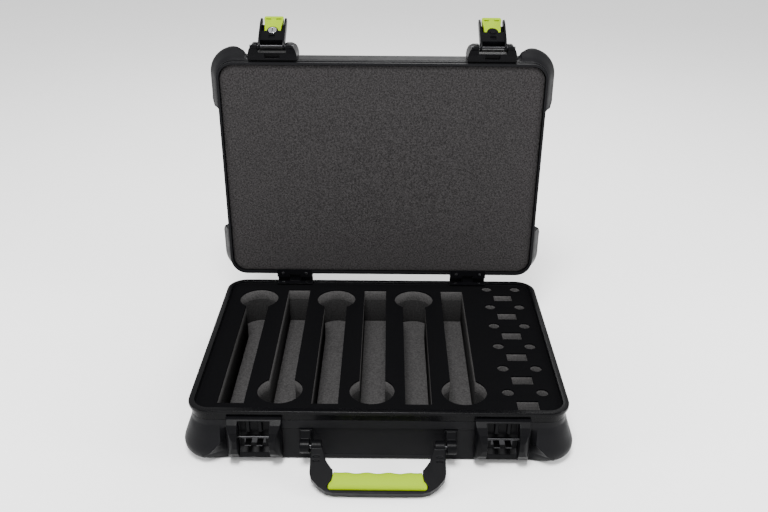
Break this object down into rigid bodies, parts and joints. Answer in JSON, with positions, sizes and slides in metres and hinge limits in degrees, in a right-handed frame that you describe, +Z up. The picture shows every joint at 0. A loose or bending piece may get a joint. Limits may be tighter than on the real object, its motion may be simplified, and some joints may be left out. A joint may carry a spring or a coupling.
{
  "type": "microphone carry case",
  "caption": "Hard moulded carry case with a hinged lid, two lever latches, a folding handle and layered foam cut for handheld microphones and spare cells.",
  "frame": {"origin": "centre of the base's flat underside, under the middle of the rim outline", "axes": "+Z up, +Y towards the hinges, +X to the right of someone facing the handle"},
  "size_m": [0.5204, 0.4783, 0.5007],
  "materials": {
    "shell_black": "moulded, fine grain",
    "rim_black": "satin black extrusion",
    "hard_black": "glass-filled nylon, satin",
    "steel": "bright zinc plate",
    "chrome": "polished",
    "foam_black": "fine closed-cell foam skin",
    "foam_grey": "open-cell foam",
    "foam_dark": "open-cell foam",
    "lime": "soft-touch moulding"
  },
  "bodies": {
    "base": {"base_shell": "shell_black", "base_valance": "rim_black", "foam_floor_pad": "foam_grey", "mic_foam_lower": "foam_dark", "mic_foam_upper": "foam_grey", "battery_foam": "foam_grey", "foam_top_skin": "foam_black", "latch_keeper_left": "hard_black", "keeper_rod_left": "steel", "catch_plate_left": "steel", "handle_bracket_left": "hard_black", "handle_pin_left": "steel", "hinge_leaf_base_left": "hard_black", "hinge_pin_left": "steel", "base_rivet_left_1": "steel", "base_rivet_left_2": "steel", "latch_keeper_right": "hard_black", "keeper_rod_right": "steel", "catch_plate_right": "steel", "handle_bracket_right": "hard_black", "handle_pin_right": "steel", "hinge_leaf_base_right": "hard_black", "hinge_pin_right": "steel", "base_rivet_right_1": "steel", "base_rivet_right_2": "steel"},
    "lid": {"lid_shell": "shell_black", "lid_valance": "rim_black", "lid_foam_pad": "foam_grey", "latch_housing_left": "hard_black", "latch_pin_left": "steel", "hinge_leaf_lid_left": "hard_black", "lid_rivet_left_1": "steel", "lid_rivet_left_2": "steel", "latch_housing_right": "hard_black", "latch_pin_right": "steel", "hinge_leaf_lid_right": "hard_black", "lid_rivet_right_1": "steel", "lid_rivet_right_2": "steel"},
    "lever_left": {"lever_frame_left": "hard_black", "lever_tab_left": "lime"},
    "lever_right": {"lever_frame_right": "hard_black", "lever_tab_right": "lime", "blank_plug": "hard_black"},
    "key_lock": {"lock_cylinder": "chrome"},
    "handle": {"handle_frame": "hard_black", "handle_grip": "lime"}
  },
  "joints": [
    {"name": "lid_hinge", "type": "hinge", "parent": "base", "child": "lid", "pos_m": [0, 0.179, 0.0907], "axis": [1, 0, 0], "range_deg": [0, 90]},
    {"name": "lever_left_pivot", "type": "hinge", "parent": "lid", "child": "lever_left", "pos_m": [-0.161, 0.1752, 0.4673], "axis": [1, 0, 0], "range_deg": [0, 148]},
    {"name": "lever_right_pivot", "type": "hinge", "parent": "lid", "child": "lever_right", "pos_m": [0.161, 0.1752, 0.4673], "axis": [1, 0, 0], "range_deg": [0, 148]},
    {"name": "key_turn", "type": "hinge", "parent": "lever_left", "child": "key_lock", "pos_m": [-0.161, 0.19725, 0.48108], "axis": [0, -0.5299, 0.848], "range_deg": [0, 90]},
    {"name": "handle_pivot", "type": "hinge", "parent": "base", "child": "handle", "pos_m": [0, -0.189, 0.034], "axis": [-1, 0, 0], "range_deg": [0, 100]}
  ]
}
